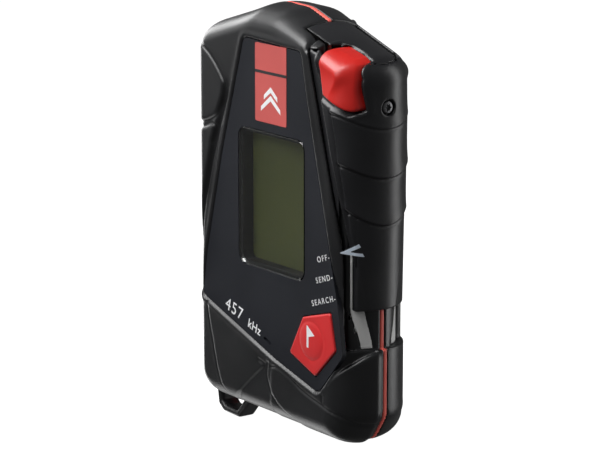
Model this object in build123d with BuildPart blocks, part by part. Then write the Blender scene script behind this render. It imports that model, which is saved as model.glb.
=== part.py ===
from build123d import *
import os

# Avalanche transceiver: hand-held beacon with a sliding mode switch, a marking
# button, a display window and a single-cell battery compartment at the back.
# Frame: +X to the device's right seen from the front, front face towards -Y,
# +Z up. Y = 0 is the flat back face, X = 0 and Z = 0 are the middle of the panel.

# ---- driving dimensions (mm) -------------------------------------------------
DEPTH = 24.5            # back face to front rim
SEAM_MID = 12.0         # depth of the parting plane behind the front rim
SEAM_T = 0.4            # thickness of the seal between the shells
WALL = 2.2
EDGE_R = 5.0            # rounding of the shell edges
STEP_Z = -28.8          # step the slider runs towards
SLIDE_TRAVEL = 10.0
SLIDER_BOTTOM = -18.5
CORE_X = 31.5           # side of the slider's guide
GAP = 0.35              # running clearance of the slider
CELL_X, CELL_D, CELL_R = -22.5, 14.2, 7.25
CELL_Z0, CELL_Z1 = -17.5, 33.0
HINGE_Z, HINGE_D = 38.6, 22.9
DOOR_SCREW_Z = -25.8
BUTTON_TRAVEL = 0.7
PCB_D0, PCB_D1 = 8.2, 9.4

# outline of the body seen from the front, with its corner radii
BODY = [(-35.5, 46.3), (-17.6, 51.7), (-9.5, 55.0), (1.5, 55.0), (33.1, 45.3),
        (33.1, -46.5), (27.8, -54.4), (-35.5, -54.4)]
BODY_R = [8, 12, 10, 12, 7, 6, 6, 8]
# outline of the slider seen from the front
SLIDER = [(9.6, 62.0), (9.6, 52.51), (34.4, 44.9), (34.3, 20.0), (33.5, SLIDER_BOTTOM),
          (9.6, SLIDER_BOTTOM), (60.0, SLIDER_BOTTOM)]
# slanted edge of the rim next to the slider, from the top down
RIM = [(15.5, 46.5), (25.0, 14.3), (27.0, 5.8), (29.0, -5.5), (31.0, -21.0), (31.85, STEP_Z)]
# outline of the face panel
PANEL = [(-12.0, 46.4), (12.9, 45.5), (15.5, 33.7), (22.2, 8.0), (29.0, -17.7), (30.9, -29.6),
         (20.6, -41.2), (1.6, -36.3), (-31.6, -25.4), (-29.5, -13.2), (-22.0, 15.2)]
PANEL_R = [2, 2, 20, 20, 20, 2.5, 3, 3, 2, 20, 20]
MARK = [(14.05, -22.3), (26.0, -18.9), (28.35, -28.7), (19.6, -37.3), (8.1, -33.1)]


def front(d):
    """Plane parallel to the front rim, d behind it; local x is X, local y is Z."""
    return Plane.XZ.offset(DEPTH - d)


def shifted(points, dx, dz):
    return [(x + dx, z + dz) for x, z in points]


def slope(x):
    """Height of the body's sloping top right of the hump."""
    return 55.0 - (x - 1.5) * 9.7 / 31.6


def core_top(x):
    return slope(x) - 12.8


# ---- lanyard eye -------------------------------------------------------------
with BuildPart() as lanyard_eye:
    with BuildSketch(front(5.6)):
        with BuildLine():
            FilletPolyline((-34.6, -49.0), (-33.2, -57.4), (-30.8, -59.1), (-23.6, -59.3), (-18.4, -53.6),
                           (-20.0, -49.0), radius=[1.5, 1.5, 1.8, 1.0, 0.2, 0.2], close=True)
        make_face()
        with BuildLine():
            FilletPolyline((-32.2, -51.0), (-31.2, -56.2), (-29.8, -57.3), (-24.4, -57.4), (-21.2, -53.8),
                           (-22.0, -51.0), radius=[0.5, 0.8, 0.8, 0.6, 0.5, 0.3], close=True)
        make_face(mode=Mode.SUBTRACT)
    extrude(amount=-5.8)
    # the legs end inside the shell wall
    with BuildSketch(front(0)):
        with BuildLine():
            FilletPolyline(*BODY, radius=BODY_R, close=True)
        make_face()
        offset(amount=-1.2)
    extrude(amount=-SEAM_MID, mode=Mode.SUBTRACT)
lanyard_eye.part.label = "lanyard_eye"

# ---- shells ------------------------------------------------------------------
# layer under the rim that the slider's flange runs in
with BuildPart() as flange_pocket:
    with BuildSketch(front(0.8)):
        with BuildLine():
            FilletPolyline(*BODY, radius=BODY_R, close=True)
        make_face()
        offset(amount=-0.8)
    extrude(amount=-11.2)
    fillet(flange_pocket.faces().sort_by(Axis.Y)[0].edges(), 4.2)
    with BuildSketch(front(0)):
        with BuildLine():
            Polyline((15.1, 46.7), (15.1, 36.2), (24.8, 4.0), (26.8, -4.5), (28.8, -15.8),
                     (30.6, STEP_Z), (50, STEP_Z), (50, 46.7), close=True)
        make_face()
    extrude(amount=-12, mode=Mode.INTERSECT)

# body of the guide that the slider wraps round
with BuildPart() as guide:
    with BuildSketch(front(2.1)):
        with BuildLine():
            FilletPolyline((4.0, core_top(4.0) - 2), (9.0, core_top(9.0)), (CORE_X, core_top(CORE_X)),
                           (CORE_X, STEP_Z - 3), (4.0, STEP_Z - 3), radius=[0, 0, 5, 0, 0], close=True)
        make_face()
    extrude(amount=-(21.9 - 2.1))
    fillet(guide.edges().filter_by(Axis.Z).sort_by(Axis.X)[-2:], 3.4)

with BuildPart() as front_shell:
    with BuildSketch(front(0)):
        with BuildLine():
            FilletPolyline(*BODY, radius=BODY_R, close=True)
        make_face()
    extrude(amount=-(SEAM_MID - SEAM_T / 2))
    fillet(front_shell.faces().sort_by(Axis.Y)[0].edges(), EDGE_R)
    # room for the slider outside the guide
    with BuildSketch(front(-1)):
        with BuildLine():
            Polyline(*RIM, (50, STEP_Z), (50, 70), (18.3, 70), (18.3, 46.5), close=True)
        make_face()
    extrude(amount=-3.1, mode=Mode.SUBTRACT)
    with BuildSketch(front(2.0)):
        with BuildLine():
            Polyline((18.3, 70), (18.3, core_top(18.3)), (CORE_X - 3, core_top(CORE_X - 3)), (CORE_X - 3, STEP_Z),
                     (50, STEP_Z), (50, 70), close=True)
        make_face()
    extrude(amount=-12, mode=Mode.SUBTRACT)
    with BuildSketch(front(3.9)):
        with BuildLine():
            Polyline((9.3, 70), (9.3, core_top(9.3)), (40, core_top(40)), (40, 70), close=True)
        make_face()
    extrude(amount=-12, mode=Mode.SUBTRACT)
    add(flange_pocket.part, mode=Mode.SUBTRACT)
    # the front half of the guide
    add(guide.part)
    with BuildSketch(front(SEAM_MID - SEAM_T / 2)):
        Rectangle(200, 200)
    extrude(amount=-20, mode=Mode.SUBTRACT)
    # hollow
    with BuildSketch(front(2.7)):
        with BuildLine():
            FilletPolyline((-33.3, 44.6), (-16.9, 49.5), (-9.0, 52.7), (1.0, 52.7), (7.2, 50.8), (7.2, 43.0),
                           (9.0, 40.0 - 2.5), (27.4, -17.0), (29.6, -24.5), (29.6, -45.0), (25.8, -52.2), (-33.3, -52.2),
                           radius=[5, 3, 3, 3, 1, 1, 3, 3, 2, 3, 3, 5], close=True)
        make_face()
    extrude(amount=-12, mode=Mode.SUBTRACT)
    with BuildSketch(front(4.2)):
        with BuildLine():
            FilletPolyline((0, core_top(0) - 2.4), (CORE_X - 3.2, core_top(CORE_X - 3.2) - 2.4),
                           (CORE_X - 3.2, -40), (0, -40), radius=[1, 3, 1, 1], close=True)
        make_face()
    extrude(amount=-12, mode=Mode.SUBTRACT)
    # recess of the face panel, display opening, button opening, sound slot
    with BuildSketch(front(-1)):
        with BuildLine():
            FilletPolyline(*PANEL, radius=PANEL_R, close=True)
        make_face()
    extrude(amount=-2.5, mode=Mode.SUBTRACT)
    with BuildSketch(front(-1)):
        with Locations((0, 4.7)):
            RectangleRounded(29.6, 36.8, 3.2)
        with BuildLine():
            Polyline(*MARK, close=True)
        make_face()
        with Locations((-1.9, -32.3)):
            SlotOverall(3.3, 1.0, rotation=-20.6)
    extrude(amount=-8, mode=Mode.SUBTRACT)
    # screw bosses
    with BuildSketch(front(2.6)):
        with Locations((-29.3, -48.0), (17.5, -47.9), (-29.6, 43.8), (3.6, 48.6)):
            Circle(2.6)
    extrude(amount=-(SEAM_MID - SEAM_T / 2 - 2.6))
    with BuildSketch(front(4.5)):
        with Locations((-29.3, -48.0), (17.5, -47.9), (-29.6, 43.8), (3.6, 48.6)):
            Circle(1.12)
    extrude(amount=-12, mode=Mode.SUBTRACT)
    # channels for the grey running strips and the detent
    with BuildSketch(Plane.YZ.offset(CORE_X - 0.9)):
        with Locations((7.2 - DEPTH, 0.4)):
            Rectangle(4.84, 58.44)
    extrude(amount=5, mode=Mode.SUBTRACT)
    with BuildSketch(Plane.YZ.offset(CORE_X - 3.3)):
        with Locations((10.7 - DEPTH, -2.0)):
            Circle(0.86)
    extrude(amount=8, mode=Mode.SUBTRACT)
    add(lanyard_eye.part, mode=Mode.SUBTRACT)
front_shell.part.label = "front_shell"

with BuildPart() as back_shell:
    with BuildSketch(front(SEAM_MID + SEAM_T / 2)):
        with BuildLine():
            FilletPolyline(*BODY, radius=BODY_R, close=True)
        make_face()
    extrude(amount=-(DEPTH - SEAM_MID - SEAM_T / 2))
    fillet(back_shell.faces().sort_by(Axis.Y)[-1].edges(), EDGE_R)
    # room for the slider
    with BuildSketch(front(21.9)):
        with BuildLine():
            Polyline((24.6, 70), (24.6, STEP_Z), (50, STEP_Z), (50, 70), close=True)
        make_face()
    extrude(amount=-5, mode=Mode.SUBTRACT)
    with BuildSketch(front(20.6)):
        with BuildLine():
            Polyline((24.6, 70), (24.6, core_top(24.6)), (50, core_top(50)), (50, 70), close=True)
        make_face()
    extrude(amount=-5, mode=Mode.SUBTRACT)
    with BuildSketch(front(12)):
        with BuildLine():
            Polyline((9.3, 70), (9.3, core_top(9.3)), (CORE_X - 4, core_top(CORE_X - 4)), (CORE_X - 4, STEP_Z),
                     (50, STEP_Z), (50, 70), close=True)
        make_face()
    extrude(amount=-8.6, mode=Mode.SUBTRACT)
    with BuildSketch(front(20.5)):
        with BuildLine():
            Polyline((27.5, 70), (27.5, STEP_Z), (50, STEP_Z), (50, 70), close=True)
        make_face()
    extrude(amount=-8, mode=Mode.SUBTRACT)
    add(guide.part)
    with BuildSketch(front(SEAM_MID + SEAM_T / 2)):
        Rectangle(200, 200)
    extrude(amount=20, mode=Mode.SUBTRACT)
    # hollow
    with BuildSketch(front(12)):
        with BuildLine():
            FilletPolyline((-33.3, 44.6), (-16.9, 49.5), (-9.0, 52.7), (1.0, 52.7), (7.2, 50.8), (7.2, 38.0),
                           (CORE_X - 3.2, 32.0 - 1.0), (CORE_X - 3.2, -33.0), (30.9, -36.0), (30.9, -45.4), (26.0, -52.2),
                           (-33.3, -52.2), radius=[5, 3, 3, 3, 1, 1, 3, 1, 1, 3, 3, 5], close=True)
        make_face()
    extrude(amount=-(21.9 - 12), mode=Mode.SUBTRACT)
    # block behind the hinge and the door screw
    with BuildSketch(front(20.4)):
        with Locations((CELL_X, 39.2), (CELL_X, DOOR_SCREW_Z)):
            Rectangle(19.4, 5.0)
    extrude(amount=-2.0)
    # seat of the battery door and the opening for the cell
    with BuildSketch(front(22.8)):
        with Locations((CELL_X, (HINGE_Z + 2.0 - 30.0) / 2)):
            RectangleRounded(17.4, HINGE_Z + 2.0 + 30.0, 1.0)
    extrude(amount=-4, mode=Mode.SUBTRACT)
    with BuildSketch(front(20)):
        with Locations((CELL_X, (CELL_Z0 + CELL_Z1) / 2)):
            Rectangle(14.8, CELL_Z1 - CELL_Z0 + 1.2)
    extrude(amount=-6, mode=Mode.SUBTRACT)
    with BuildSketch(Plane.YZ.offset(CELL_X - 8.7)):
        with Locations((HINGE_D - DEPTH, HINGE_Z)):
            Circle(1.65)
    extrude(amount=17.4, mode=Mode.SUBTRACT)
    with BuildSketch(Plane.YZ.offset(CELL_X - 10.5)):
        with Locations((HINGE_D - DEPTH, HINGE_Z)):
            Circle(0.62)
    extrude(amount=21.0, mode=Mode.SUBTRACT)
    with BuildSketch(front(18)):
        with Locations((CELL_X, DOOR_SCREW_Z)):
            Circle(2.0)
    extrude(amount=-7, mode=Mode.SUBTRACT)
    # screw holes
    with BuildSketch(front(12)):
        with Locations((-29.3, -48.0), (17.5, -47.9), (-29.6, 43.8), (3.6, 48.6)):
            Circle(2.6)
    extrude(amount=-10.2)
    with BuildSketch(front(12.0)):
        Rectangle(200, 200)
    extrude(amount=-(SEAM_T / 2), mode=Mode.SUBTRACT)
    with BuildSketch(front(10)):
        with Locations((-29.3, -48.0), (17.5, -47.9), (-29.6, 43.8), (3.6, 48.6)):
            Circle(1.25)
    extrude(amount=-20, mode=Mode.SUBTRACT)
    with BuildSketch(front(22.3)):
        with Locations((-29.3, -48.0), (17.5, -47.9), (-29.6, 43.8), (3.6, 48.6)):
            Circle(2.1)
    extrude(amount=-4, mode=Mode.SUBTRACT)
    # channel for the rear running strip
    with BuildSketch(Plane.YZ.offset(CORE_X - 0.9)):
        with Locations((16.8 - DEPTH, 0.4)):
            Rectangle(4.84, 58.44)
    extrude(amount=5, mode=Mode.SUBTRACT)
back_shell.part.label = "back_shell"

# red seal between the two shells
with BuildPart() as parting_seal:
    with BuildSketch(front(SEAM_MID - SEAM_T / 2)):
        with BuildLine():
            FilletPolyline(*BODY, radius=BODY_R, close=True)
        make_face()
        with BuildLine():
            FilletPolyline((9.3, 70), (9.3, core_top(9.3)), (CORE_X - 0.1, core_top(CORE_X - 0.1)), (CORE_X - 0.1, STEP_Z),
                           (50, STEP_Z), (50, 70), radius=[0, 0, 5, 0, 0, 0], close=True)
        make_face(mode=Mode.SUBTRACT)
        with BuildLine():
            FilletPolyline((-33.6, 44.8), (-16.9, 49.9), (-9.0, 53.1), (1.0, 53.1), (7.6, 51.1), (7.6, 37.5),
                           (CORE_X - 2.4, 30.6), (CORE_X - 2.4, -32.6), (31.1, -35.6), (31.1, -45.4), (26.2, -52.6),
                           (-33.6, -52.6), radius=[5, 3, 3, 3, 1, 1, 3, 1, 1, 3, 3, 5], close=True)
        make_face(mode=Mode.SUBTRACT)
    extrude(amount=-SEAM_T)
parting_seal.part.label = "parting_seal"

# ---- grey strips the slider runs on -------------------------------------------
with BuildPart() as slide_track:
    with BuildSketch(Plane.YZ.offset(CORE_X - 0.88)):
        with Locations((7.2 - DEPTH, 0.4), (16.8 - DEPTH, 0.4)):
            Rectangle(4.8, 58.4)
    extrude(amount=0.86)
    chamfer(slide_track.faces().sort_by(Axis.X)[-2:].edges(), 0.25)
slide_track.part.label = "slide_track"

# ---- mode slider ---------------------------------------------------------------
# flat flange that passes under the rim
with BuildPart() as flange:
    with BuildSketch(front(0.95)):
        with BuildLine():
            Polyline((15.3, 46.4), (24.8, 14.2), (26.8, 5.7), (28.8, -5.6), (30.7, -18.2), (32.4, -18.2),
                     (32.4, 0.0), (30.0, 20.0), (21.0, 46.4), close=True)
        make_face()
    extrude(amount=-4.0)
    with BuildSketch(Plane.XY.offset(-30)):
        with Locations((28.1, 5.0 - DEPTH)):
            Rectangle(10, 10, align=(Align.MIN, Align.MAX))
            Circle(4.05, mode=Mode.SUBTRACT)
    extrude(amount=90, mode=Mode.SUBTRACT)

with BuildPart() as mode_slider:
    # raised cap
    with BuildSketch(front(-0.5)):
        with BuildLine():
            FilletPolyline((18.6, 47.0), (18.6, slope(18.6)), (34.4, slope(34.4)), (34.35, 20.0), (33.5, SLIDER_BOTTOM),
                           (31.95, SLIDER_BOTTOM), (31.05, -10.6), (29.2, 5.0), (27.2, 16.2), (25.2, 24.7),
                           radius=[0.4, 0.8, 7, 20, 0.8, 0.2, 3, 3, 3, 3], close=True)
        make_face()
    extrude(amount=-(24.2 + 0.5))
    with BuildSketch(front(14.0)):
        with BuildLine():
            Polyline((9.6, slope(9.6)), (9.6, slope(9.6) - 2.0), (24.0, slope(24.0) - 2.0), (24.95, 38.0),
                     (24.95, SLIDER_BOTTOM), (31.9, SLIDER_BOTTOM), (31.9, 40.0), (24.95, slope(24.95)), close=True)
        make_face()
    extrude(amount=-(24.2 - 14.0))
    # rounded outer edges
    with BuildSketch(Plane.XY.offset(-30)):
        with Locations((29.8, -20.4)):
            Rectangle(10, 10, align=(Align.MIN, Align.MAX))
            Circle(4.6, mode=Mode.SUBTRACT)
        with Locations((29.8, -4.9)):
            Rectangle(10, 10, align=(Align.MIN, Align.MIN))
            Circle(4.6, mode=Mode.SUBTRACT)
    extrude(amount=90, mode=Mode.SUBTRACT)
    with BuildSketch(front(-2)):
        with BuildLine():
            FilletPolyline((28.0, slope(28.0)), (34.4, slope(34.4)), (34.35, 20.0), (33.5, SLIDER_BOTTOM), (33.5, -40), (60, -40),
                           (60, 80), (28.0, 80), radius=[0, 7, 20, 0, 0, 0, 0, 0], close=True)
        make_face()
    extrude(amount=-40, mode=Mode.SUBTRACT)
    # top bar that reaches over to the hump's side
    with BuildSketch(front(4.2)):
        with BuildLine():
            Polyline((9.6, slope(9.6)), (9.6, slope(9.6) - 2.0), (26.0, slope(26.0) - 2.0), (26.0, slope(26.0)), close=True)
        make_face()
    extrude(amount=-(20.3 - 4.2))
    with BuildSketch(front(20.3)):
        with BuildLine():
            Polyline((8, 70), (8, -40), (24.95, -40), (24.95, 70), close=True)
        make_face()
    extrude(amount=-6, mode=Mode.SUBTRACT)
    add(flange.part)
    # inside, clear of the guide
    with BuildSketch(front(2.1 - GAP)):
        with BuildLine():
            FilletPolyline((4.0, slope(4.0) - 2.0), (CORE_X + GAP, slope(CORE_X + GAP) - 2.0), (CORE_X + GAP, -80), (4.0, -80),
                           radius=[0, 5, 0, 0], close=True)
        make_face()
    extrude(amount=-(21.9 - 2.1 + 2 * GAP), mode=Mode.SUBTRACT)
    # seats of the release button, the screw and the magnet
    with BuildSketch(front(-3)):
        with BuildLine():
            FilletPolyline((20.2, 47.9), (30.9, 44.6), (32.6, 31.9), (22.4, 35.3), radius=1.5, close=True)
        make_face()
    extrude(amount=-8.0, mode=Mode.SUBTRACT)
    with BuildSketch(Plane.YZ.offset(40)):
        with Locations((11.9 - DEPTH, 33.0)):
            Circle(1.02)
    extrude(amount=-12, mode=Mode.SUBTRACT)
    with BuildSketch(Plane.YZ.offset(40)):
        with Locations((11.9 - DEPTH, 33.0)):
            Circle(2.3)
    extrude(amount=-7.2, mode=Mode.SUBTRACT)
    with BuildSketch(Plane.YZ.offset(CORE_X + GAP - 0.01)):
        with Locations((12.0 - DEPTH, 8.0)):
            Rectangle(4.04, 6.04)
    extrude(amount=1.27, mode=Mode.SUBTRACT)
mode_slider.part.label = "mode_slider"

with BuildPart() as slider_magnet:
    with BuildSketch(Plane.YZ.offset(CORE_X + GAP)):
        with Locations((12.0 - DEPTH, 8.0)):
            Rectangle(4.0, 6.0)
    extrude(amount=1.2)
slider_magnet.part.label = "slider_magnet"

with BuildPart() as slider_screw:
    with BuildSketch(Plane.YZ.offset(32.82)):
        with Locations((11.9 - DEPTH, 33.0)):
            Circle(1.9)
    extrude(amount=1.1)
    with BuildSketch(Plane.YZ.offset(32.82)):
        with Locations((11.9 - DEPTH, 33.0)):
            Circle(1.0)
    extrude(amount=-0.9)
    with BuildSketch(Plane.YZ.offset(33.95)):
        with Locations((11.9 - DEPTH, 33.0)):
            RegularPolygon(0.8, 6)
    extrude(amount=-0.7, mode=Mode.SUBTRACT)
slider_screw.part.label = "slider_screw"

# red button that unlocks the slider
with BuildPart() as release_button:
    with BuildSketch(front(-1.1)):
        with BuildLine():
            FilletPolyline((20.6, 47.4), (30.55, 44.3), (32.15, 32.5), (22.7, 35.7), radius=1.2, close=True)
        make_face()
    extrude(amount=-2.0)
    fillet(release_button.faces().sort_by(Axis.Y)[0].edges(), 0.6)
release_button.part.label = "release_button"

# ---- detent ---------------------------------------------------------------------
with BuildPart() as detent_ball:
    with BuildSketch(Plane.XY.offset(-2.0)) as ball_section:
        with Locations((CORE_X - 0.62, 10.7 - DEPTH)):
            Circle(0.8)
            Rectangle(0.9, 2, align=(Align.MAX, Align.CENTER), mode=Mode.SUBTRACT)
            Rectangle(2, 2, align=(Align.CENTER, Align.MAX), mode=Mode.SUBTRACT)
    revolve(axis=Axis((CORE_X, 10.7 - DEPTH, -2.0), (1, 0, 0)), revolution_arc=360)
detent_ball.part.label = "detent_ball"

with BuildPart() as detent_spring:
    with BuildSketch(Plane.YZ.offset(CORE_X - 3.28)):
        with Locations((10.7 - DEPTH, -2.0)):
            Circle(0.7)
            Circle(0.4, mode=Mode.SUBTRACT)
    extrude(amount=1.7)
detent_spring.part.label = "detent_spring"

# ---- front panel ----------------------------------------------------------------
with BuildPart() as face_panel:
    with BuildSketch(front(0.15)):
        with BuildLine():
            FilletPolyline(*PANEL, radius=PANEL_R, close=True)
        make_face()
        offset(amount=-0.12)
        with Locations((0, 4.7)):
            RectangleRounded(29.5, 36.6, 3.1, mode=Mode.SUBTRACT)
        with BuildLine():
            Polyline(*MARK, close=True)
        make_face(mode=Mode.SUBTRACT)
        with Locations((-1.9, -32.3)):
            SlotOverall(3.3, 0.9, rotation=-20.6, mode=Mode.SUBTRACT)
    extrude(amount=-1.33)
    with BuildSketch(front(0)):
        with Locations((0, 35.45)):
            RectangleRounded(13.9, 20.5, 0.6)
    extrude(amount=-0.65, mode=Mode.SUBTRACT)
face_panel.part.label = "face_panel"

with BuildPart() as label_plate:
    with BuildSketch(front(0.1)):
        with Locations((0, 35.45)):
            RectangleRounded(13.7, 20.3, 0.5)
    extrude(amount=-0.53)
label_plate.part.label = "label_plate"

with BuildPart() as display_window:
    with BuildSketch(front(0.1)):
        with Locations((0, 4.7)):
            RectangleRounded(29.3, 36.4, 3.0)
    extrude(amount=-1.6)
    chamfer(display_window.faces().sort_by(Axis.Y)[0].edges(), 0.3)
display_window.part.label = "display_window"

with BuildPart() as lcd_frame:
    with BuildSketch(front(1.72)):
        with Locations((0, 4.7)):
            RectangleRounded(29.2, 36.3, 2.6)
            RectangleRounded(27.0, 34.2, 1.6, mode=Mode.SUBTRACT)
    extrude(amount=-(4.9 - 1.72))
lcd_frame.part.label = "lcd_frame"

with BuildPart() as lcd_module:
    with BuildSketch(front(4.95)):
        with Locations((0, 4.7)):
            RectangleRounded(27.8, 36.0, 0.8)
    extrude(amount=-1.1)
lcd_module.part.label = "lcd_module"

with BuildPart() as lcd_backlight:
    with BuildSketch(front(6.1)):
        with Locations((0, 4.7)):
            RectangleRounded(27.6, 35.6, 0.8)
    extrude(amount=-1.9)
lcd_backlight.part.label = "lcd_backlight"

# ---- marking button ---------------------------------------------------------------
with BuildPart() as mark_button:
    with BuildSketch(front(-0.45)):
        with BuildLine():
            FilletPolyline(*MARK, radius=1.0, close=True)
        make_face()
        offset(amount=-0.3)
    extrude(amount=-3.9)
    fillet(mark_button.faces().sort_by(Axis.Y)[0].edges(), 0.45)
    with BuildSketch(front(2.95)):
        with BuildLine():
            FilletPolyline(*MARK, radius=1.0, close=True)
        make_face()
        offset(amount=0.7)
    extrude(amount=-0.5)
mark_button.part.label = "mark_button"

with BuildPart() as button_gasket:
    with BuildSketch(front(4.3)):
        with Locations((19.0, -28.6)):
            Rectangle(13.0, 12.0)
    extrude(amount=-0.5)
    with BuildSketch(front(4.8)):
        with Locations((19.0, -28.6)):
            Circle(3.8)
    extrude(amount=-0.5)
button_gasket.part.label = "button_gasket"

with BuildPart() as tact_switch:
    with BuildSketch(front(5.7)):
        with Locations((19.0, -28.6)):
            Rectangle(6.0, 6.0)
    extrude(amount=-2.5)
    with BuildSketch(front(5.35)):
        with Locations((19.0, -28.6)):
            Circle(1.6)
    extrude(amount=-0.35)
tact_switch.part.label = "tact_switch"

# ---- electronics --------------------------------------------------------------------
with BuildPart() as main_pcb:
    with BuildSketch(front(PCB_D0)):
        with BuildLine():
            FilletPolyline((-13.8, -51.2), (14.3, -51.2), (14.3, -44.6), (29.0, -44.6), (29.0, -35.2), (27.9, -33.0),
                           (27.9, 28.6), (6.6, 35.0), (6.6, 41.5), (-1.5, 49.0), (-8.5, 51.4), (-13.8, 48.6),
                           radius=0.8, close=True)
        make_face()
    extrude(amount=-(PCB_D1 - PCB_D0))
main_pcb.part.label = "main_pcb"

with BuildPart() as pcb_components:
    with BuildSketch(front(PCB_D1)):
        with Locations((0.0, -10.0)):
            Rectangle(9.0, 9.0)
        with Locations((12.0, 6.0)):
            Rectangle(6.0, 5.0)
        with Locations((-6.0, 12.0)):
            Rectangle(5.0, 7.0)
        with Locations((10.0, -18.0)):
            Rectangle(3.2, 2.5)
        with Locations((-9.5, 28.0)):
            Rectangle(4.0, 3.0)
    extrude(amount=-1.0)
pcb_components.part.label = "pcb_components"

with BuildPart() as reed_switches:
    with BuildSketch(front(PCB_D1)):
        with Locations((26.2, 8.0), (26.2, 0.0), (26.2, -8.0)):
            Rectangle(2.2, 6.0)
    extrude(amount=-2.0)
reed_switches.part.label = "reed_switches"

with BuildPart() as speaker:
    with BuildSketch(front(3.15)):
        with Locations((-5.0, -33.0)):
            Circle(8.0)
    extrude(amount=-3.6)
    with BuildSketch(front(6.75)):
        with Locations((-5.0, -33.0)):
            Circle(4.2)
    extrude(amount=-1.4)
speaker.part.label = "speaker"

with BuildPart() as speaker_mesh:
    with BuildSketch(front(2.75)):
        with Locations((-3.4, -32.8)):
            Circle(4.5)
    extrude(amount=-0.35)
speaker_mesh.part.label = "speaker_mesh"

# three aerials at right angles: ferrite cores with their windings
with BuildPart() as antenna_long_core:
    with BuildSketch(Plane.XY.offset(-28.0)):
        with Locations((18.5, 15.6 - DEPTH)):
            Circle(3.0)
    extrude(amount=54.0)
antenna_long_core.part.label = "antenna_long_core"

with BuildPart() as antenna_long_coil:
    with BuildSketch(Plane.XY.offset(-19.0)):
        with Locations((18.5, 15.6 - DEPTH)):
            Circle(4.6)
            Circle(3.05, mode=Mode.SUBTRACT)
    extrude(amount=36.0)
antenna_long_coil.part.label = "antenna_long_coil"

with BuildPart() as antenna_cross_core:
    with BuildSketch(Plane.YZ.offset(-24.0)):
        with Locations((15.6 - DEPTH, -42.0)):
            Circle(3.0)
    extrude(amount=42.0)
antenna_cross_core.part.label = "antenna_cross_core"

with BuildPart() as antenna_cross_coil:
    with BuildSketch(Plane.YZ.offset(-18.0)):
        with Locations((15.6 - DEPTH, -42.0)):
            Circle(4.6)
            Circle(3.05, mode=Mode.SUBTRACT)
    extrude(amount=30.0)
antenna_cross_coil.part.label = "antenna_cross_coil"

with BuildPart() as antenna_depth_core:
    with BuildSketch(front(10.0)):
        with Locations((-3.5, 40.0)):
            Circle(4.0)
    extrude(amount=-10.5)
antenna_depth_core.part.label = "antenna_depth_core"

with BuildPart() as antenna_depth_coil:
    with BuildSketch(front(11.0)):
        with Locations((-3.5, 40.0)):
            Circle(6.6)
            Circle(4.05, mode=Mode.SUBTRACT)
    extrude(amount=-8.0)
antenna_depth_coil.part.label = "antenna_depth_coil"

# ---- battery compartment --------------------------------------------------------------
with BuildPart() as battery_tray:
    with BuildSketch(front(5.6)):
        with Locations((CELL_X, 7.2)):
            Rectangle(16.8, 60.0)
    extrude(amount=-(20.2 - 5.6))
    with BuildSketch(front(6.6)):
        with Locations((CELL_X, 7.2)):
            Rectangle(14.9, 57.6)
    extrude(amount=-20, mode=Mode.SUBTRACT)
battery_tray.part.label = "battery_tray"

with BuildPart() as aa_cell:
    with BuildSketch(Plane.XY.offset(CELL_Z0)):
        with Locations((CELL_X, CELL_D - DEPTH)):
            Circle(CELL_R - 0.05)
    extrude(amount=49.3)
    fillet(aa_cell.edges().group_by(Axis.Z)[-1], 0.8)
    with BuildSketch(Plane.XY.offset(CELL_Z0 + 49.0)):
        with Locations((CELL_X, CELL_D - DEPTH)):
            Circle(2.75)
    extrude(amount=1.5)
aa_cell.part.label = "aa_cell"

with BuildPart() as battery_spring:
    with BuildSketch(Plane.XY.offset(-21.4)):
        with Locations((CELL_X, CELL_D - DEPTH)):
            Rectangle(11.0, 11.0)
    extrude(amount=0.4)
    with BuildSketch(Plane.XY.offset(-21.0)):
        with Locations((CELL_X, CELL_D - DEPTH)):
            Circle(4.5)
    extrude(amount=3.45, taper=14)
battery_spring.part.label = "battery_spring"

with BuildPart() as battery_contact:
    with BuildSketch(Plane.XY.offset(33.05)):
        with Locations((CELL_X, CELL_D - DEPTH)):
            Rectangle(10.0, 9.0)
    extrude(amount=2.7)
battery_contact.part.label = "battery_contact"

with BuildPart() as door_seal:
    with BuildSketch(front(22.82)):
        with Locations((CELL_X, (CELL_Z0 + CELL_Z1) / 2)):
            RectangleRounded(16.6, CELL_Z1 - CELL_Z0 + 2.9, 0.9)
            RectangleRounded(14.8, CELL_Z1 - CELL_Z0 + 1.2, 0.5, mode=Mode.SUBTRACT)
    extrude(amount=-0.26)
door_seal.part.label = "door_seal"

with BuildPart() as battery_door:
    with BuildSketch(front(23.12)):
        with Locations((CELL_X, (HINGE_Z - 29.6) / 2)):
            RectangleRounded(16.8, HINGE_Z + 29.6, 0.8)
    extrude(amount=-(DEPTH - 23.12))
    chamfer(battery_door.faces().sort_by(Axis.Y)[-1].edges(), 0.3)
    with BuildSketch(Plane.YZ.offset(CELL_X - 8.4)):
        with Locations((HINGE_D - DEPTH, HINGE_Z)):
            Circle(1.35)
    extrude(amount=16.8)
    with BuildSketch(Plane.YZ.offset(CELL_X - 9)):
        with Locations((HINGE_D - DEPTH, HINGE_Z)):
            Circle(0.65)
    extrude(amount=18, mode=Mode.SUBTRACT)
    with BuildSketch(front(20)):
        with Locations((CELL_X, DOOR_SCREW_Z)):
            Circle(1.5)
    extrude(amount=-6, mode=Mode.SUBTRACT)
    with BuildSketch(front(23.7)):
        with Locations((CELL_X, DOOR_SCREW_Z)):
            Circle(3.1)
    extrude(amount=-2, mode=Mode.SUBTRACT)
    with BuildSketch(front(24.2)):
        with Locations((CELL_X - 5, 30), (CELL_X, 30), (CELL_X + 5, 30)):
            SlotOverall(9.0, 1.0, rotation=90)
    extrude(amount=-2, mode=Mode.SUBTRACT)
battery_door.part.label = "battery_door"

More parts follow.
